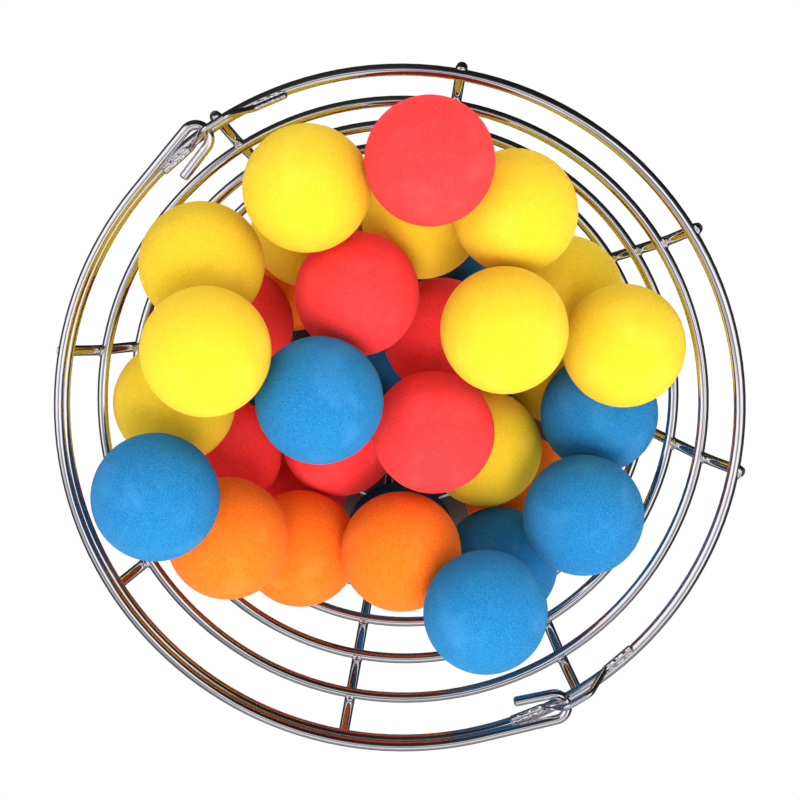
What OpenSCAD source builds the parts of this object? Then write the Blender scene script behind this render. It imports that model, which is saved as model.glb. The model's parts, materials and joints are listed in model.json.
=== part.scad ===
// Open wire cage bowl with a swing handle, holding loose foam balls.
// Origin: centre of the bowl on the plane it stands on. +Z is up.
// The handle swings about a line along X, just above the rim, and is folded down towards +Y.

/* [Bowl] */
// Radius of the rim, to the middle of its wire
rim_r = 109.3; // [108:0.1:111]
// Height of the middle of the rim wire above the standing plane
rim_z = 115; // [113:0.5:118]
// Lean of the wall away from upright, in degrees
wall_lean = 15.2; // [14.5:0.1:15.8]
// Lean of the flared strip under the rim, in degrees
flare_lean = 26; // [25:0.5:27]
// Drop from the rim to the first wall ring, where the flare ends
flare_drop = 19; // [18:0.5:20]
// Drop from one wall ring to the next
ring_step = 26; // [25.5:0.1:26.5]
// Radius of the larger ring in the floor
floor_ring_r = 47; // [44:1:50]
// Radius of the small ring at the centre of the floor
centre_ring_r = 18; // [16:0.5:20]

/* [Wires] */
// Thickness of the rim wire
rim_wire_d = 3.8; // [3.6:0.1:4]
// Thickness of the rings and the ribs
cage_wire_d = 3.5; // [3.3:0.1:3.6]
// Thickness of the handle wire
handle_wire_d = 3.3; // [3.1:0.1:3.3]
// Thickness of the eye wires
eye_wire_d = 2.2; // [2:0.1:2.2]
// Depth that two crossing wires sink into each other at a weld
weld_sink = 0.4; // [0.3:0.05:0.5]

/* [Ribs] */
// Angle from one rib to the next, for every second gap, in degrees
rib_gap = 48; // [45:1:50]
// Length of a rib above its weld to the rim
rib_tip = 1.2; // [0.8:0.1:1.6]
// Bend radius of a rib at the foot of the wall
rib_foot_bend_r = 16; // [14:1:20]

/* [Handle and eyes] */
// Radius of the handle's hoop, which rests over the rim
hoop_r = 110.3; // [110:0.1:110.5]
// Radius of the handle's bend where it crosses the rim
hook_r = 4.3; // [4.2:0.1:4.4]
// Length of the hooked end inside the rim
hook_leg = 12.5; // [11:0.5:13]
// Play of a hook in its eye: how far the hook lies from the hinge line, towards the handle's hoop
hook_slack = 4.3; // [3.8:0.1:4.3]
// Clearance between the handle and the rim
handle_gap = 0.1; // [0.05:0.05:0.2]
// Height of an eye's bridge above the middle of the rim wire
eye_rise = 11; // [10.9:0.1:11.5]
// Half angle of rim that an eye spans, in degrees
eye_half_angle = 12.5; // [12:0.5:13]

/* [Balls] */
// Diameter of a ball
ball_d = 41.2; // [40.8:0.1:41.4]
// Gap left between resting balls
ball_gap = 0.06; // [0.05:0.01:0.1]

/* [Hidden] */
$fn = 96;
CHROME = [0.8, 0.81, 0.83];
RIB_COUNT = 8;
RIB_NAMES = [for (i = [1:RIB_COUNT]) str("rib_", i)];
wall_rings = 4;
// Ribs: how far round to the underside of the rim they are welded, in degrees
rib_weld_angle = 42;
flare_bend_r = 40;
// Wire ends are bevelled. Straight wires are a hair slimmer than bends and lap into them.
tip_bevel = 0.6;
joint_slim = 0.02;
joint_lap = 0.2;
// Eyes: how far inwards from the top of the rim the feet are welded, where a foot starts to rise,
// and the bridge above the handle's hook
eye_weld_angle = 40;
eye_foot_angle = 6.4;
eye_bridge_half = 4.5;
eye_bend_r = 3;
eye_bridge_x = rim_r - 0.3;
// Handle: the height of its hinge line, the centre of a hook's bend, and the straight that is
// tangent to the hoop and to the bend. Both touch it at the same angle.
hook_lean = 20;
hinge_z = rim_z + (rim_wire_d + handle_wire_d) / 2 + handle_gap;
hook_centre = [rim_r - 0.7, hook_slack + hook_r, 0];
tangent_angle = atan2(hook_centre.y, hook_centre.x) + acos((hoop_r - hook_r) / norm(hook_centre));

// Drop of wall ring k below the rim, and the wall's radius at any drop
function ring_drop(k) = flare_drop + (k - 1) * ring_step;
function wall_r(drop) = rim_r - min(drop, flare_drop) * tan(flare_lean)
    - max(drop - flare_drop, 0) * tan(wall_lean);
function wall_ring(k) = [wall_r(ring_drop(k)), rim_z - ring_drop(k)];
rib_offset = cage_wire_d - weld_sink;
floor_ring_z = cage_wire_d / 2 + rib_offset;
RINGS = concat([[rim_r, rim_z]], [for (k = [1:wall_rings]) wall_ring(k)],
    [[floor_ring_r, floor_ring_z], [centre_ring_r, floor_ring_z]]);

// One resting place per ball: name, colour, angle and distance from the bowl's axis.
// They are in the order in which the balls are dropped into the bowl.
YELLOW = [0.98, 0.87, 0.14];
RED = [0.97, 0.24, 0.24];
BLUE = [0.14, 0.54, 0.85];
ORANGE = [1, 0.48, 0.12];
LOWER_SPOTS = [
    ["ball_blue_1", BLUE, 0, 3],
    ["ball_blue_2", BLUE, 145, 62],
    ["ball_orange_1", ORANGE, 196, 58],
    ["ball_yellow_1", YELLOW, 244, 58],
    ["ball_blue_3", BLUE, 290, 58],
    ["ball_red_1", RED, 334, 58],
    ["ball_orange_2", ORANGE, 17, 58],
    ["ball_blue_4", BLUE, 60, 58],
    ["ball_red_2", RED, 103, 58]
];
MIDDLE_SPOTS = [
    ["ball_red_3", RED, 94, 33],
    ["ball_red_4", RED, 299, 20],
    ["ball_yellow_2", YELLOW, 200, 38],
    ["ball_red_5", RED, 77, 64],
    ["ball_red_6", RED, 36, 60],
    ["ball_yellow_3", YELLOW, 1, 64],
    ["ball_blue_5", BLUE, 235, 66],
    ["ball_orange_3", ORANGE, 113, 62],
    ["ball_blue_6", BLUE, 177, 74],
    ["ball_yellow_4", YELLOW, 273, 64],
    ["ball_yellow_5", YELLOW, 326, 62],
    ["ball_red_7", RED, 344, 41],
    ["ball_orange_4", ORANGE, 143, 51],
    ["ball_red_8", RED, 198, 18],
    ["ball_orange_5", ORANGE, 98, 71],
    ["ball_yellow_6", YELLOW, 61, 76],
    ["ball_yellow_7", YELLOW, 21, 84],
    ["ball_yellow_8", YELLOW, 301, 73],
    ["ball_yellow_9", YELLOW, 256, 75]
];
TOP_SPOTS = [
    ["ball_blue_7", BLUE, 39, 25],
    ["ball_yellow_10", YELLOW, 35, 62],
    ["ball_yellow_11", YELLOW, 280, 46],
    ["ball_yellow_12", YELLOW, 350, 74],
    ["ball_red_9", RED, 319, 79],
    ["ball_blue_8", BLUE, 79, 81],
    ["ball_blue_9", BLUE, 209, 71],
    ["ball_blue_10", BLUE, 168, 70]
];
SPOTS = concat(LOWER_SPOTS, MIDDLE_SPOTS, TOP_SPOTS);
BALL_NAMES = [for (s = SPOTS) s[0]];

// Height at which a ball dropped straight down comes to rest: on the floor wires, on a ring
// or on a ball that is already there, whichever stops it first.
reach_ring = (ball_d + cage_wire_d) / 2 + ball_gap;
reach_ball = ball_d + ball_gap;
roll_limit = 4;
roll_step = 2;
roll_finest = 0.1;
floor_rest = cage_wire_d + ball_d / 2 + ball_gap;
function stop_height(away, reach, height) = abs(away) >= reach ? 0
    : height + sqrt(reach * reach - away * away);
function rest_height(at, placed) = max(concat([floor_rest],
    [for (ring = RINGS) stop_height(norm(at) - ring[0], reach_ring, ring[1])],
    [for (p = placed) stop_height(norm([p.x, p.y] - at), reach_ball, p.z)]));
function spot_xy(s) = s[3] * [cos(s[2]), sin(s[2])];

// Rolls a ball downhill from where it landed, in shrinking steps, until it lies in a pocket
// or is a set distance from its spot
function lowest(options, best, i = 0) = i == len(options) ? best
    : lowest(options, options[i].z < best.z ? options[i] : best, i + 1);
function land(xy, placed) = [xy.x, xy.y, rest_height(xy, placed)];
function around(at, step, spot, placed) = [for (a = [0:45:315])
    let (q = [at.x, at.y] + step * [cos(a), sin(a)])
        if (norm(q - spot) <= roll_limit) land(q, placed)];
function roll(at, step, spot, placed) = step < roll_finest ? at
    : let (next = lowest(around(at, step, spot, placed), at))
        next.z < at.z ? roll(next, step, spot, placed) : roll(at, step / 2, spot, placed);
function settle(i, placed) = i == len(SPOTS) ? placed
    : let (spot = spot_xy(SPOTS[i]))
        settle(i + 1, concat(placed, [roll(land(spot, placed), roll_step, spot, placed)]));
CENTRES = settle(0, []);

function unit(v) = v / norm(v);
function beside(u) = unit(cross(u, abs(u.z) < 0.9 ? [0, 0, 1] : [1, 0, 0]));

// Puts its children into the frame with origin o and the unit directions x and y
module in_frame(o, x, y) {
    z = cross(x, y);
    multmatrix([[x.x, y.x, z.x, o.x], [x.y, y.y, z.y, o.y], [x.z, y.z, z.z, o.z], [0, 0, 0, 1]]) children();
}

// A straight length of wire from a to b. An end that meets a bend laps a little way into it,
// and a free end, with a lap of 0, is bevelled.
module straight_wire(a, b, d, lap_a, lap_b) {
    u = unit(b - a);
    x = beside(u);
    r = (d - joint_slim) / 2;
    end_r = r - tip_bevel;
    length = norm(b - a) + lap_a + lap_b;
    start = lap_a > 0 ? [[r, 0]] : [[end_r, 0], [r, tip_bevel]];
    finish = lap_b > 0 ? [[r, length]] : [[r, length - tip_bevel], [end_r, length]];
    in_frame(a - u * lap_a, x, cross(u, x))
        rotate_extrude() polygon(concat([[0, 0]], start, finish, [[0, length]]));
}

function turn_angle(p, v, n) = acos(unit(v - p) * unit(n - v));
function bend_trim(p, v, n, r) = r * tan(turn_angle(p, v, n) / 2);

// The bend of radius r at corner v, between the corners p and n
module wire_bend(p, v, n, r, d) {
    u = unit(v - p);
    w = unit(n - v);
    inward = unit(w - (u * w) * u);
    in_frame(v - u * bend_trim(p, v, n, r) + r * inward, -inward, u)
        rotate_extrude(angle = turn_angle(p, v, n)) translate([r, 0]) circle(d = d);
}

// A wire through the given corners, with a bend radius for each corner but the two ends
module wire_path(corners, radii, d) {
    last = len(corners) - 1;
    trims = [for (i = [0:last]) i == 0 || i == last ? 0
        : bend_trim(corners[i - 1], corners[i], corners[i + 1], radii[i - 1])];
    for (i = [0:last - 1]) {
        u = unit(corners[i + 1] - corners[i]);
        straight_wire(corners[i] + u * trims[i], corners[i + 1] - u * trims[i + 1], d,
            trims[i] > 0 ? joint_lap : 0, trims[i + 1] > 0 ? joint_lap : 0);
    }
    for (i = [1:last - 1]) wire_bend(corners[i - 1], corners[i], corners[i + 1], radii[i - 1], d);
}

module wire_ring(place, d) {
    translate([0, 0, place[1]]) rotate_extrude() translate([place[0], 0]) circle(d = d);
}

module rim_ring() color(CHROME) wire_ring(RINGS[0], rim_wire_d);
module cage_ring(k) color(CHROME) wire_ring(RINGS[k], cage_wire_d);

// Ribs run outside the rings: down the flare, down the wall and in along the floor
function rib_angle(i) = floor(i / 2) * 90 + (i % 2) * rib_gap;
module rib(i) {
    rim_reach = (rim_wire_d + cage_wire_d) / 2 - weld_sink;
    mean_lean = (wall_lean + flare_lean) / 2;
    rim_side = [rim_r + rim_reach * cos(rib_weld_angle), 0, rim_z - rim_reach * sin(rib_weld_angle)];
    bend_at = [RINGS[1][0] + rib_offset * cos(mean_lean), 0, RINGS[1][1] - rib_offset * sin(mean_lean)];
    along = unit(rim_side - bend_at);
    floor_z = cage_wire_d / 2;
    foot_at = [bend_at.x - (bend_at.z - floor_z) * tan(wall_lean), 0, floor_z];
    inner_at = [centre_ring_r - cage_wire_d, 0, floor_z];
    tip_at = rim_side + along * rib_tip;
    color(CHROME) rotate([0, 0, rib_angle(i - 1)])
        wire_path([tip_at, bend_at, foot_at, inner_at], [flare_bend_r, rib_foot_bend_r], cage_wire_d);
}

// An eye: a thin staple with both feet welded along the inner side of the rim's top, and a
// bridge that rises over the middle of the rim
module eye() {
    foot_reach = (rim_wire_d + eye_wire_d) / 2 - weld_sink;
    foot_r = rim_r - foot_reach * sin(eye_weld_angle);
    foot_z = rim_z + foot_reach * cos(eye_weld_angle);
    foot = [for (a = [-eye_half_angle, -eye_foot_angle]) [foot_r * cos(a), foot_r * sin(a), foot_z]];
    bridge = [eye_bridge_x, -eye_bridge_half, rim_z + eye_rise];
    half = concat(foot, [bridge]);
    other = [for (i = [2:-1:0]) [half[i].x, -half[i].y, half[i].z]];
    color(CHROME) wire_path(concat(half, other), [for (i = [1:4]) eye_bend_r], eye_wire_d);
}

// Half of the handle's hooked end, on the +X side, in the plane of the handle: the straight
// that leaves the hoop, the bend that crosses the rim under the eye and a leg inside the rim
module handle_hook() {
    hoop_end = hoop_r * [cos(tangent_angle), sin(tangent_angle), 0];
    bend_start = hook_centre + hook_r * [cos(tangent_angle), sin(tangent_angle), 0];
    leg_start = hook_centre - hook_r * [cos(hook_lean), sin(hook_lean), 0];
    leg_end = leg_start + hook_leg * [-sin(hook_lean), cos(hook_lean), 0];
    straight_wire(hoop_end, bend_start, handle_wire_d, joint_lap, joint_lap);
    translate(hook_centre) rotate([0, 0, hook_lean - 180])
        rotate_extrude(angle = 180 - hook_lean + tangent_angle)
            translate([hook_r, 0]) circle(d = handle_wire_d);
    straight_wire(leg_start, leg_end, handle_wire_d, joint_lap, 0);
}

module handle() {
    color(CHROME) translate([0, 0, hinge_z]) {
        rotate([0, 0, tangent_angle])
            rotate_extrude(angle = 180 - 2 * tangent_angle)
                translate([hoop_r, 0]) circle(d = handle_wire_d);
        handle_hook();
        mirror([1, 0, 0]) handle_hook();
    }
}

// A ball at its resting place
module ball(i) {
    color(SPOTS[i][1]) translate(CENTRES[i]) sphere(d = ball_d);
}

rim_ring();
mirror([1, 0, 0]) eye();  // eye_left
eye();  // eye_right
handle();
for (k = [1:wall_rings]) cage_ring(k);
cage_ring(wall_rings + 1);  // floor_ring
cage_ring(wall_rings + 2);  // centre_ring
for (i = [1:RIB_COUNT]) rib(i);
for (i = [0:len(SPOTS) - 1]) ball(i);
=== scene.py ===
# Looks for the open wire cage bowl: chrome wire with welds, foam balls, studio light and camera.
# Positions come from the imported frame. All lengths are in metres.
import json
import math

import bmesh
import bpy
import numpy as np
from mathutils import Matrix, Vector

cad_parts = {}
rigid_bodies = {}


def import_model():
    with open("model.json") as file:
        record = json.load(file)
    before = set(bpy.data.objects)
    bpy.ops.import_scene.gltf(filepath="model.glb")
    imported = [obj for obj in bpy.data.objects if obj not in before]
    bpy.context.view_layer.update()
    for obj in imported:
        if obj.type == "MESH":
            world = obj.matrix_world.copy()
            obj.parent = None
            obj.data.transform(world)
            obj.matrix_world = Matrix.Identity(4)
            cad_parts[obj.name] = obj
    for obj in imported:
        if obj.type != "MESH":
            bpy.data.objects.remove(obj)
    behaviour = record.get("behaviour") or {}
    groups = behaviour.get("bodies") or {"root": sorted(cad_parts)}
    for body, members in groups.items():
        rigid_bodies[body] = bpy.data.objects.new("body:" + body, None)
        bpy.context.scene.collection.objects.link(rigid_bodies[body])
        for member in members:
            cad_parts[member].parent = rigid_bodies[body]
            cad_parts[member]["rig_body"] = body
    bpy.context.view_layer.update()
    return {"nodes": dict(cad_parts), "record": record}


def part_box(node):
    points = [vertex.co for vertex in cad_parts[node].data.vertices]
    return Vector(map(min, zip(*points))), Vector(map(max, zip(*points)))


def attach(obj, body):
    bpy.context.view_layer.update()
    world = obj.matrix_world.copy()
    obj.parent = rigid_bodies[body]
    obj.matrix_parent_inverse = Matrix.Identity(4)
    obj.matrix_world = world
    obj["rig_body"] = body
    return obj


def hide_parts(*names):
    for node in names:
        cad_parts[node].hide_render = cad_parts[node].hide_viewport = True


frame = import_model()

MM = 0.001

RIM_LOW, RIM_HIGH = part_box("rim_ring")
RIM_WIRE = RIM_HIGH.z - RIM_LOW.z
RIM_RADIUS = (RIM_HIGH.x - RIM_LOW.x - RIM_WIRE) / 2
RIM_Z = (RIM_HIGH.z + RIM_LOW.z) / 2
RINGS = ["rim_ring", "wall_ring_1", "wall_ring_2", "wall_ring_3", "wall_ring_4", "floor_ring", "centre_ring"]
RIBS = [f"rib_{i}" for i in range(1, 9)]
EYES = ["eye_left", "eye_right"]
BALLS = sorted(n for n in frame["nodes"] if n.startswith("ball_"))

# The camera's turn about the bowl: azimuths of the picture's upward and rightward directions
PICTURE_UP = math.radians(328)
PICTURE_RIGHT = math.radians(238)


def heading(azimuth):
    return Vector((math.cos(azimuth), math.sin(azimuth), 0))


# ---------------------------------------------------------------- materials

def new_material(name):
    material = bpy.data.materials.new(name)
    material.use_nodes = True
    tree = material.node_tree
    return material, tree, tree.nodes["Principled BSDF"]


def add(tree, kind, **settings):
    node = tree.nodes.new(kind)
    for key, value in settings.items():
        if key in node.inputs:
            node.inputs[key].default_value = value
        else:
            setattr(node, key, value)
    return node


def noise_node(tree, place, scale, detail=3.0, roughness=0.5):
    node = add(tree, "ShaderNodeTexNoise")
    node.inputs["Scale"].default_value = scale
    node.inputs["Detail"].default_value = detail
    node.inputs["Roughness"].default_value = roughness
    tree.links.new(place, node.inputs["Vector"])
    return node


def remap(tree, value, low, high, to_low, to_high):
    node = add(tree, "ShaderNodeMapRange", interpolation_type="SMOOTHSTEP")
    node.inputs["From Min"].default_value = low
    node.inputs["From Max"].default_value = high
    node.inputs["To Min"].default_value = to_low
    node.inputs["To Max"].default_value = to_high
    tree.links.new(value, node.inputs["Value"])
    return node.outputs["Result"]


def mix_colour(tree, factor, a, b, blend="MIX"):
    node = add(tree, "ShaderNodeMix", data_type="RGBA", blend_type=blend)
    for socket, value in ((node.inputs[0], factor), (node.inputs[6], a), (node.inputs[7], b)):
        if isinstance(value, (int, float)):
            socket.default_value = value
        elif isinstance(value, tuple):
            socket.default_value = (*value, 1.0)
        else:
            tree.links.new(value, socket)
    return node.outputs[2]


def math_node(tree, operation, a, b=0.0):
    node = add(tree, "ShaderNodeMath", operation=operation)
    for socket, value in ((node.inputs[0], a), (node.inputs[1], b)):
        if isinstance(value, (int, float)):
            socket.default_value = value
        else:
            tree.links.new(value, socket)
    return node.outputs[0]


def bump(tree, height, strength, distance, normal=None):
    node = add(tree, "ShaderNodeBump")
    node.inputs["Strength"].default_value = strength
    node.inputs["Distance"].default_value = distance
    tree.links.new(height, node.inputs["Height"])
    if normal is not None:
        tree.links.new(normal, node.inputs["Normal"])
    return node.outputs["Normal"]


def chrome_material(name, bright, dull, rough, waviness, grain):
    """Plated wire: a faint waviness, fine drawing grain, dull specks and a darker tone in worn patches."""
    material, tree, shader = new_material(name)
    place = add(tree, "ShaderNodeTexCoord").outputs["Object"]
    wave = noise_node(tree, place, 140, 2.0)
    fine = noise_node(tree, place, 2600, 4.0, 0.6)
    patch = noise_node(tree, place, 60, 3.0)
    speck = add(tree, "ShaderNodeTexVoronoi", feature="F1")
    speck.inputs["Scale"].default_value = 420
    tree.links.new(place, speck.inputs["Vector"])
    worn = remap(tree, patch.outputs["Fac"], 0.52, 0.7, 0.0, 1.0)
    spots = remap(tree, speck.outputs["Distance"], 0.04, 0.1, 1.0, 0.0)
    colour = mix_colour(tree, math_node(tree, "MULTIPLY", worn, 0.5), bright, dull)
    colour = mix_colour(tree, math_node(tree, "MULTIPLY", spots, 0.35), colour, tuple(c * 0.72 for c in dull))
    tree.links.new(colour, shader.inputs["Base Color"])
    roughness = remap(tree, fine.outputs["Fac"], 0.3, 0.7, *rough)
    roughness = math_node(tree, "ADD", roughness, math_node(tree, "MULTIPLY", spots, 0.05))
    tree.links.new(roughness, shader.inputs["Roughness"])
    shader.inputs["Metallic"].default_value = 1.0
    normal = bump(tree, wave.outputs["Fac"], 1.0, waviness)
    normal = bump(tree, fine.outputs["Fac"], 1.0, grain, normal)
    tree.links.new(normal, shader.inputs["Normal"])
    return material


def weld_material(name, ripple_depth, pit_depth):
    """Plated weld metal: rippled and pitted, so that it breaks reflections into bright and dark mottling."""
    material, tree, shader = new_material(name)
    place = add(tree, "ShaderNodeTexCoord").outputs["Object"]
    ripple = noise_node(tree, place, 500, 2.0, 0.5)
    pits = add(tree, "ShaderNodeTexVoronoi", feature="F1")
    pits.inputs["Scale"].default_value = 500
    tree.links.new(place, pits.inputs["Vector"])
    pitted = remap(tree, pits.outputs["Distance"], 0.05, 0.16, 1.0, 0.0)
    colour = mix_colour(tree, pitted, (0.94, 0.94, 0.95), (0.5, 0.49, 0.5))
    tree.links.new(colour, shader.inputs["Base Color"])
    tree.links.new(remap(tree, ripple.outputs["Fac"], 0.3, 0.7, 0.05, 0.12), shader.inputs["Roughness"])
    shader.inputs["Metallic"].default_value = 1.0
    normal = bump(tree, ripple.outputs["Fac"], 1.0, ripple_depth)
    normal = bump(tree, pitted, 0.4, pit_depth, normal)
    tree.links.new(normal, shader.inputs["Normal"])
    return material


def foam_material(name, colour, shade, reflected_shade):
    """Soft foam: open-grained skin with fine mottling, small dark pores, a dusty sheen and light scuffs.
    The last argument is painted shade: the foam's colour is multiplied by it in the chrome's reflections,
    which see mostly its shaded sides."""
    material, tree, shader = new_material(name)
    place = add(tree, "ShaderNodeTexCoord").outputs["Object"]
    info = add(tree, "ShaderNodeObjectInfo")
    shifted = add(tree, "ShaderNodeVectorMath", operation="ADD")
    tree.links.new(place, shifted.inputs[0])
    tree.links.new(info.outputs["Random"], shifted.inputs[1])
    where = shifted.outputs[0]
    grain = noise_node(tree, where, 2400, 3.0, 0.6)
    lumps = noise_node(tree, where, 700, 2.0)
    cloud = noise_node(tree, where, 75, 2.0)
    pores = add(tree, "ShaderNodeTexVoronoi", feature="F1")
    pores.inputs["Scale"].default_value = 1500
    tree.links.new(where, pores.inputs["Vector"])
    pore = remap(tree, pores.outputs["Distance"], 0.1, 0.3, 1.0, 0.0)
    base = mix_colour(tree, remap(tree, grain.outputs["Fac"], 0.3, 0.7, 0.0, 1.0), shade, colour)
    base = mix_colour(tree, math_node(tree, "MULTIPLY", pore, 0.6), base, tuple(c * 0.6 for c in shade))
    pale = tuple(min(1.0, c * 1.05 + 0.03) for c in colour)
    base = mix_colour(tree, remap(tree, cloud.outputs["Fac"], 0.5, 0.75, 0.0, 0.35), base, pale)
    # Painted shade: glossy rays see the foam's colour darkened, for the shaded sides that the chrome mirrors.
    chrome_painted_shade_mask = add(tree, "ShaderNodeLightPath").outputs["Is Glossy Ray"]
    base = mix_colour(tree, chrome_painted_shade_mask, base, mix_colour(tree, 1.0, base, (reflected_shade,) * 3, "MULTIPLY"))
    tree.links.new(base, shader.inputs["Base Color"])
    shader.inputs["Roughness"].default_value = 0.9
    shader.inputs["Specular IOR Level"].default_value = 0.08
    shader.inputs["Sheen Weight"].default_value = 0.02
    shader.inputs["Sheen Roughness"].default_value = 0.6
    shader.inputs["Subsurface Weight"].default_value = 0.12
    shader.inputs["Subsurface Radius"].default_value = (1.0, 0.7, 0.5)
    shader.inputs["Subsurface Scale"].default_value = 1.5 * MM
    normal = bump(tree, lumps.outputs["Fac"], 0.6, 0.3 * MM)
    normal = bump(tree, grain.outputs["Fac"], 0.9, 0.4 * MM, normal)
    normal = bump(tree, pore, -0.5, 0.12 * MM, normal)
    tree.links.new(normal, shader.inputs["Normal"])
    return material


CHROME_RIM = chrome_material("chrome_rim", bright=(0.95, 0.95, 0.96), dull=(0.84, 0.83, 0.86),
                             rough=(0.03, 0.06), waviness=0.04 * MM, grain=0.002 * MM)
CHROME_WIRE = chrome_material("chrome_wire", bright=(0.95, 0.95, 0.96), dull=(0.84, 0.83, 0.85),
                              rough=(0.03, 0.06), waviness=0.04 * MM, grain=0.002 * MM)
CHROME_HANDLE = chrome_material("chrome_handle", bright=(0.95, 0.95, 0.96), dull=(0.82, 0.81, 0.84),
                                rough=(0.03, 0.06), waviness=0.05 * MM, grain=0.002 * MM)
CHROME_EYE = chrome_material("chrome_eye", bright=(0.93, 0.93, 0.94), dull=(0.74, 0.73, 0.74),
                             rough=(0.04, 0.1), waviness=0.12 * MM, grain=0.006 * MM)
CHROME_TIP = chrome_material("chrome_tip", bright=(0.34, 0.33, 0.35), dull=(0.16, 0.15, 0.17),
                             rough=(0.12, 0.3), waviness=0.2 * MM, grain=0.02 * MM)
WELD_SMOOTH = weld_material("weld_smooth", 0.08 * MM, 0.02 * MM)
WELD_ROUGH = weld_material("weld_rough", 0.12 * MM, 0.06 * MM)
# The last number of each foam is painted shade: how much darker it looks in the chrome's reflections.
FOAM = {
    "foam_yellow": foam_material("foam_yellow", (0.82, 0.56, 0.028), (0.72, 0.47, 0.02), 0.6),
    "foam_red": foam_material("foam_red", (0.98, 0.056, 0.056), (0.8, 0.028, 0.028), 0.22),
    "foam_blue": foam_material("foam_blue", (0.022, 0.225, 0.48), (0.007, 0.12, 0.31), 0.3),
    "foam_orange": foam_material("foam_orange", (1.0, 0.21, 0.015), (0.82, 0.11, 0.007), 0.2),
}
SLOTS = {part["node"]: part["material_slot"] for part in frame["record"]["subparts"]}


def set_material(obj, material):
    obj.data.materials.clear()
    obj.data.materials.append(material)


for name in RINGS + RIBS:
    set_material(frame["nodes"][name], CHROME_RIM if name == "rim_ring" else CHROME_WIRE)
for name in EYES:
    set_material(frame["nodes"][name], CHROME_EYE)
set_material(frame["nodes"]["handle"], CHROME_HANDLE)


# ---------------------------------------------------------------- mesh pieces

def mesh_piece(name, vertices, faces, material, slot, body):
    mesh = bpy.data.meshes.new(name)
    mesh.from_pydata([tuple(v) for v in vertices], [], faces)
    mesh.update()
    for polygon in mesh.polygons:
        polygon.use_smooth = True
    obj = bpy.data.objects.new(name, mesh)
    bpy.context.scene.collection.objects.link(obj)
    set_material(obj, material)
    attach(obj, body)
    return obj


def unit_sphere(level):
    """An even sphere mesh: its directions as an array, and its faces."""
    shape = bmesh.new()
    bmesh.ops.create_icosphere(shape, subdivisions=level, radius=1.0)
    directions = np.array([v.co for v in shape.verts], float)
    faces = [tuple(v.index for v in f.verts) for f in shape.faces]
    shape.free()
    return directions / np.linalg.norm(directions, axis=1)[:, None], faces


def ripples(points, seed, waves, count=7):
    """A smooth pseudo-random field between -1 and 1, made of sine waves in seeded directions."""
    random = np.random.default_rng(seed)
    total = np.zeros(len(points))
    for _ in range(count):
        direction = random.normal(size=3)
        direction *= waves * random.uniform(0.7, 1.3) / np.linalg.norm(direction)
        total += np.sin(points @ direction + random.uniform(0, 2 * math.pi))
    return total / count


def foam_ball(node, seed):
    """A foam ball: slightly uneven, with a shallow mould seam and flats where other balls press on it."""
    low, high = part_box(node)
    centre = np.array((low + high) / 2)
    radius = (high.x - low.x) / 2
    directions, faces = unit_sphere(6)
    depth = 0.08 * MM * (1 + ripples(directions, seed, 3.5))
    depth += 0.03 * MM * (1 + ripples(directions, seed + 1, 14))
    seam = Vector(np.random.default_rng(seed + 2).normal(size=3)).normalized()
    across = directions @ np.array(seam)
    depth += 0.1 * MM * np.exp(-(across / 0.018) ** 2)
    for other in BALLS:
        if other == node:
            continue
        other_low, other_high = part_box(other)
        gap = np.array((other_low + other_high) / 2) - centre
        distance = np.linalg.norm(gap)
        if distance < 2.02 * radius:
            facing = directions @ (gap / distance)
            depth += 0.16 * MM * np.exp(-((1 - facing) / 0.02))
    obj = mesh_piece("foam_" + node, centre + directions * (radius - depth)[:, None], faces,
                     FOAM[SLOTS[node]], SLOTS[node], frame["nodes"][node]["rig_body"])
    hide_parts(node)
    return obj


for index, node in enumerate(BALLS):
    foam_ball(node, 100 + 10 * index)


def blob(centre, axes, sizes, seed, roughness, level=3):
    """A lumpy closed bead of weld metal: an uneven ellipsoid along the given axes."""
    directions, faces = unit_sphere(level)
    swell = 1 + roughness * ripples(directions, seed, 4) + 0.5 * roughness * ripples(directions, seed + 5, 9)
    frame_axes = np.array([list(a) for a in axes])
    vertices = np.array(centre) + (directions * swell[:, None] * np.array(sizes)) @ frame_axes
    return vertices, faces


def joined(parts):
    vertices, faces, start = [], [], 0
    for points, polygons in parts:
        vertices.extend(points)
        faces.extend(tuple(i + start for i in polygon) for polygon in polygons)
        start += len(points)
    return vertices, faces


def ring_shape(name):
    low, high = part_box(name)
    wire = high.z - low.z
    return (high.x - low.x - wire) / 2, (high.z + low.z) / 2, wire


def rib_azimuth(name):
    low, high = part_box(name)
    middle = (low + high) / 2
    return math.atan2(middle.y, middle.x)


SHAPES = [ring_shape(n) for n in RINGS]


def wall_direction(index):
    """The downhill direction of the wall at a ring, as (outward, up), taken between its neighbours."""
    above = SHAPES[max(index - 1, 0)]
    below = SHAPES[min(index + 1, len(SHAPES) - 1)]
    step = Vector((below[0] - above[0], below[1] - above[1]))
    return step.normalized()


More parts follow.
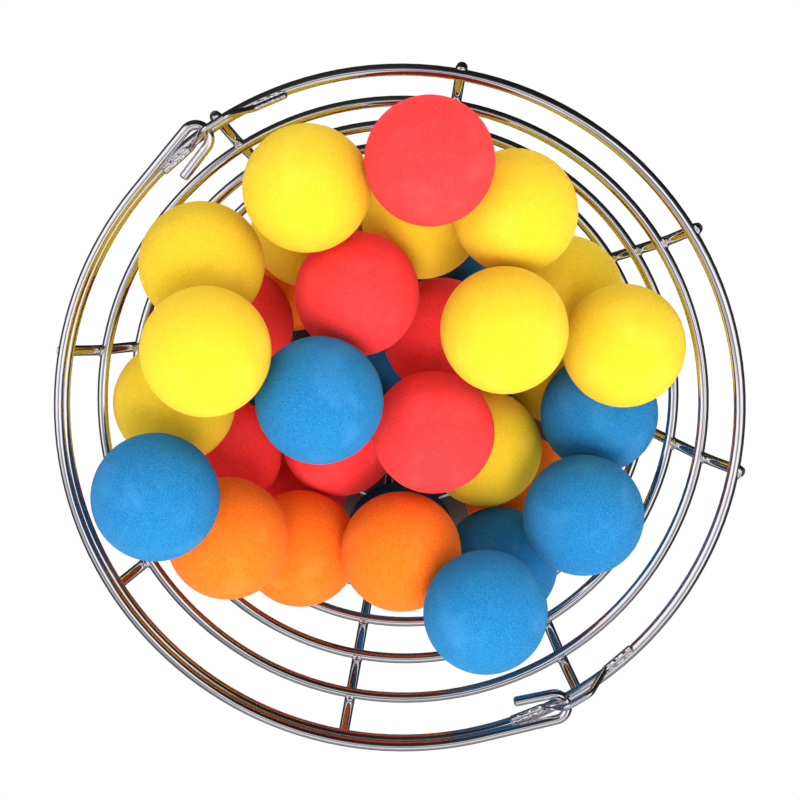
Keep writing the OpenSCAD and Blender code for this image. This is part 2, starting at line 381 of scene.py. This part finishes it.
def rib_welds(rib, seed):
    """The weld at each crossing of one rib: a bead in the crotch between the two wires."""
    azimuth = rib_azimuth(rib)
    outward = heading(azimuth)
    around = Vector((-outward.y, outward.x, 0))
    parts = []
    for index, (radius, height, wire) in enumerate(SHAPES):
        if index >= 5:
            down = Vector((-1, 0))
        elif index == 0:
            first = SHAPES[1]
            down = Vector((first[0] - radius, first[1] - height)).normalized()
        else:
            down = wall_direction(index)
        along = (outward * down.x + Vector((0, 0, down.y))).normalized()
        normal = around.cross(along).normalized()
        if normal.dot(outward) < 0 and index < 5 or index >= 5 and normal.z > 0:
            normal = -normal
        ring_centre = outward * radius + Vector((0, 0, height))
        contact = ring_centre + normal * (wire / 2 - 0.2 * MM)
        random = np.random.default_rng(seed + index)
        spread = 1 + 0.12 * random.normal()
        parts.append(blob(contact, (around, along, normal),
                          (2.0 * MM * spread, 2.3 * MM, 0.95 * MM), seed + 7 * index, 0.07))
    return mesh_piece(rib + "_welds", *joined(parts), WELD_SMOOTH, "chrome", "cage")


for index, rib in enumerate(RIBS):
    rib_welds(rib, 900 + 50 * index)


def rib_cap(rib, seed):
    """The rounded end of a rib, where weld metal has run over the cut wire outside the rim, in a darker
    chrome.
    """
    low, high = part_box(rib)
    outward = heading(rib_azimuth(rib))
    around = Vector((-outward.y, outward.x, 0))
    centre = outward * (RIM_RADIUS + 2.2 * MM) + Vector((0, 0, high.z - 1.35 * MM))
    shape = blob(centre, (around, outward, Vector((0, 0, 1))), (2.0 * MM, 1.5 * MM, 1.6 * MM), seed, 0.04)
    return mesh_piece(rib + "_cap", *shape, CHROME_TIP, "chrome", "cage")


for index, rib in enumerate(RIBS):
    rib_cap(rib, 2000 + 10 * index)


# Thickness of an eye's wire
EYE_WIRE = 2.2 * MM


def eye_welds(eye, seed):
    """The weld metal under and over an eye's feet, which lie along the inner side of the rim's top."""
    low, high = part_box(eye)
    side = 1 if low.x > 0 else -1
    inner_x = low.x if side > 0 else -high.x
    foot_radius = math.hypot(inner_x + EYE_WIRE / 2, high.y)
    foot_height = low.z + EYE_WIRE / 2 - RIM_Z
    lean = Vector((foot_radius - RIM_RADIUS, foot_height)).normalized()
    foot_end = math.asin(high.y / foot_radius)
    parts = []

    def bead(angle, reach, sizes, index, rough):
        outward = Vector((side * math.cos(angle), math.sin(angle), 0))
        along = Vector((-side * math.sin(angle), math.cos(angle), 0))
        normal = (outward * lean.x + Vector((0, 0, lean.y))).normalized()
        across = along.cross(normal)
        centre = outward * RIM_RADIUS + Vector((0, 0, RIM_Z)) + normal * reach
        parts.append(blob(centre, (along, across, normal), sizes, seed + index, rough))

    for end in (-1, 1):
        for step in range(3):
            angle = end * (foot_end - math.radians(1.2 + 1.9 * step))
            bead(angle, RIM_WIRE / 2, (2.3 * MM, 1.5 * MM, 0.6 * MM), step + 20 * end, 0.08)
        for step, share in enumerate((0.4, 0.75)):
            angle = end * (foot_end - math.radians(5.6 * share))
            size = (1.9 - 0.5 * step) * MM
            bead(angle, RIM_WIRE / 2 + EYE_WIRE * 0.78, (size, 0.85 * MM, 0.42 * MM),
                 40 + step + 20 * end, 0.1)
    return mesh_piece(eye + "_welds", *joined(parts), WELD_ROUGH, "chrome", "cage")


for index, eye in enumerate(EYES):
    eye_welds(eye, 3000 + 100 * index)

# ---------------------------------------------------------------- studio

# What the polished wire mirrors on each side of the picture: a bright wall with a dark rail on the left, a
# window over a dark floor on the right, a dark room at the top and a pale table at the bottom. Each pair is
# the share of a half turn down from straight up, and the brightness there.
ROOM = {
    "left": ((0, 1.0), (0.07, 1.0), (0.1, 0.1), (0.13, 1.0), (0.36, 1.0), (0.4, 0.1), (0.7, 0.03)),
    "right": ((0, 1.0), (0.1, 1.0), (0.27, 1.0), (0.33, 0.2), (0.42, 0.03)),
    "up": ((0, 0.7), (0.05, 0.3), (0.1, 0.05), (0.25, 0.02)),
    "down": ((0, 0.7), (0.05, 0.2), (0.1, 0.1), (0.13, 0.7), (0.3, 0.7), (0.36, 0.1), (0.5, 0.4),
             (0.65, 0.05)),
}

# Two dark openings in the room: how far they reach to the right and the top of the picture, how well a
# direction must line up with each for it to start and to be full, and its depth.
OPENINGS = (
    (0.61, 0.79, 0.72, 0.93, 0.95),
    (-0.77, -0.64, 0.88, 0.97, 0.55),
)
# Strength of the light from all around, and the power, width and distance of the one lamp
SKY_LIGHT = 1.25
KEY_POWER = 20
KEY_SIZE = 0.9
KEY_DISTANCE = 1.3


def world_light():
    """Soft white surroundings. Chrome sees a studio with bright sides and a dark end beyond the top right."""
    world = bpy.data.worlds.new("studio")
    bpy.context.scene.world = world
    world.use_nodes = True
    tree = world.node_tree
    tree.nodes.clear()
    direction = add(tree, "ShaderNodeTexCoord").outputs["Generated"]

    def part_along(axis):
        node = add(tree, "ShaderNodeVectorMath", operation="DOT_PRODUCT")
        tree.links.new(direction, node.inputs[0])
        node.inputs[1].default_value = axis
        return node.outputs["Value"]

    up = part_along((0, 0, 1))
    down_turn = math_node(tree, "DIVIDE", math_node(tree, "ARCCOSINE", up), math.pi)
    flat = math_node(tree, "SQRT", math_node(tree, "MAXIMUM", math_node(tree, "SUBTRACT", 1.0,
                     math_node(tree, "MULTIPLY", up, up)), 1e-6))
    total = None
    sides = {"left": -heading(PICTURE_RIGHT), "right": heading(PICTURE_RIGHT),
             "up": heading(PICTURE_UP), "down": -heading(PICTURE_UP)}
    for side, axis in sides.items():
        toward = math_node(tree, "DIVIDE", part_along(axis), flat)
        squared = math_node(tree, "POWER", math_node(tree, "MAXIMUM", toward, 0.0), 2.0)
        weight = remap(tree, squared, 0.3, 0.7, 0.0, 1.0)
        ramp = add(tree, "ShaderNodeValToRGB")
        stops = ramp.color_ramp.elements
        stops.remove(stops[1])
        for index, (share, grey) in enumerate(ROOM[side]):
            stop = stops.new(share) if index else stops[0]
            stop.position = share
            stop.color = (grey, grey * 0.975, grey * 1.015, 1.0)
        tree.links.new(down_turn, ramp.inputs["Fac"])
        lit = mix_colour(tree, weight, (0.0, 0.0, 0.0), ramp.outputs["Color"])
        total = lit if total is None else mix_colour(tree, 1.0, total, lit, "ADD")

    def opening(to_right, to_top, start, full, depth):
        """How far a direction lies in a dark opening, from 0 to its depth."""
        middle = (heading(PICTURE_UP) * to_top + heading(PICTURE_RIGHT) * to_right).normalized()
        return remap(tree, math_node(tree, "DIVIDE", part_along(middle), flat), start, full, 0.0, depth)

    below_top = remap(tree, down_turn, 0.14, 0.19, 0.0, 1.0)
    black = math_node(tree, "MULTIPLY", opening(*OPENINGS[0]), below_top)
    room = mix_colour(tree, black, total, (0.01, 0.01, 0.012))
    room = mix_colour(tree, opening(*OPENINGS[1]), room, (0.03, 0.03, 0.035))
    paths = add(tree, "ShaderNodeLightPath")
    soft = add(tree, "ShaderNodeBackground")
    soft.inputs["Color"].default_value = (1.0, 1.0, 1.0, 1.0)
    soft.inputs["Strength"].default_value = SKY_LIGHT
    seen = add(tree, "ShaderNodeBackground")
    tree.links.new(room, seen.inputs["Color"])
    seen.inputs["Strength"].default_value = 1.0
    backdrop = add(tree, "ShaderNodeBackground")
    backdrop.inputs["Color"].default_value = (1.0, 1.0, 1.0, 1.0)
    first = add(tree, "ShaderNodeMixShader")
    tree.links.new(paths.outputs["Is Glossy Ray"], first.inputs[0])
    tree.links.new(soft.outputs[0], first.inputs[1])
    tree.links.new(seen.outputs[0], first.inputs[2])
    second = add(tree, "ShaderNodeMixShader")
    tree.links.new(paths.outputs["Is Camera Ray"], second.inputs[0])
    tree.links.new(first.outputs[0], second.inputs[1])
    tree.links.new(backdrop.outputs[0], second.inputs[2])
    output = add(tree, "ShaderNodeOutputWorld")
    tree.links.new(second.outputs[0], output.inputs["Surface"])


def floor_plane():
    """A pale floor that glows in the open and has a painted shadow: its colour is dark and it stops glowing
    where the heap crowds over it. Reflections in the chrome pass through it and see the room instead."""
    half = 3.0
    mesh = bpy.data.meshes.new("floor")
    corners = [(-half, -half, 0), (half, -half, 0), (half, half, 0), (-half, half, 0)]
    mesh.from_pydata(corners, [], [(0, 1, 2, 3)])
    floor = bpy.data.objects.new("floor", mesh)
    bpy.context.scene.collection.objects.link(floor)
    material, tree, shader = new_material("pale_floor_painted_shadow")
    place = add(tree, "ShaderNodeTexCoord").outputs["Object"]
    tint = noise_node(tree, place, 40, 3.0)
    pale = mix_colour(tree, tint.outputs["Fac"], (0.88, 0.88, 0.88), (0.93, 0.93, 0.93))
    # Painted shadow: occlusion by the heap darkens the floor's colour to a near black brown and turns its
    # glow off there.
    shadow_occlusion = add(tree, "ShaderNodeAmbientOcclusion", samples=32)
    shadow_occlusion.inputs["Distance"].default_value = 120 * MM
    outside_painted_shadow = remap(tree, shadow_occlusion.outputs["AO"], 0.3, 0.5, 0.0, 1.0)
    tree.links.new(mix_colour(tree, outside_painted_shadow, (0.1, 0.07, 0.06), pale), shader.inputs["Base Color"])
    shader.inputs["Roughness"].default_value = 0.9
    paths = add(tree, "ShaderNodeLightPath")
    glow = add(tree, "ShaderNodeEmission")
    glow.inputs["Color"].default_value = (1.0, 1.0, 1.0, 1.0)
    lift = add(tree, "ShaderNodeMixShader")
    tree.links.new(math_node(tree, "MULTIPLY", paths.outputs["Is Camera Ray"], outside_painted_shadow), lift.inputs[0])
    tree.links.new(shader.outputs[0], lift.inputs[1])
    tree.links.new(glow.outputs[0], lift.inputs[2])
    clear = add(tree, "ShaderNodeBsdfTransparent")
    through = add(tree, "ShaderNodeMixShader")
    tree.links.new(paths.outputs["Is Glossy Ray"], through.inputs[0])
    tree.links.new(lift.outputs[0], through.inputs[1])
    tree.links.new(clear.outputs[0], through.inputs[2])
    tree.links.new(through.outputs[0], tree.nodes["Material Output"].inputs["Surface"])
    set_material(floor, material)


def soft_box(name, azimuth, elevation, distance, size, power):
    light = bpy.data.lights.new(name, "AREA")
    light.shape = "DISK"
    light.size = size
    light.energy = power
    obj = bpy.data.objects.new(name, light)
    bpy.context.scene.collection.objects.link(obj)
    aim = Vector((0, 0, RIM_Z))
    flat = heading(azimuth) * math.cos(elevation)
    place = aim + distance * Vector((flat.x, flat.y, math.sin(elevation)))
    obj.location = place
    obj.rotation_euler = (aim - place).to_track_quat("-Z", "Y").to_euler()
    obj.visible_glossy = False


world_light()
floor_plane()
soft_box("key_light", PICTURE_UP + math.radians(190), math.radians(62), KEY_DISTANCE, KEY_SIZE, KEY_POWER)


def place_camera():
    """Almost straight above the bowl, tilted a little, with the eyes at the upper left and lower right."""
    aim = Vector((0, 0, RIM_Z))
    distance = 0.647
    side = math.radians(317)
    elevation = math.radians(82.7)
    flat = heading(side) * math.cos(elevation)
    place = aim + distance * Vector((flat.x, flat.y, math.sin(elevation)))
    back = (place - aim).normalized()
    picture_up = heading(PICTURE_UP)
    picture_up = (picture_up - back * picture_up.dot(back)).normalized()
    right = picture_up.cross(back)
    camera = bpy.data.cameras.new("camera")
    camera.lens = 90
    camera.sensor_width = 36
    camera.shift_x = -0.0008
    camera.shift_y = 0.0149
    camera.clip_end = 20
    obj = bpy.data.objects.new("camera", camera)
    bpy.context.scene.collection.objects.link(obj)
    turn = Matrix((right, picture_up, back)).transposed().to_4x4()
    obj.matrix_world = Matrix.Translation(place) @ turn
    bpy.context.scene.camera = obj


place_camera()
bpy.context.scene.view_settings.view_transform = "Standard"

bpy.context.view_layer.update()
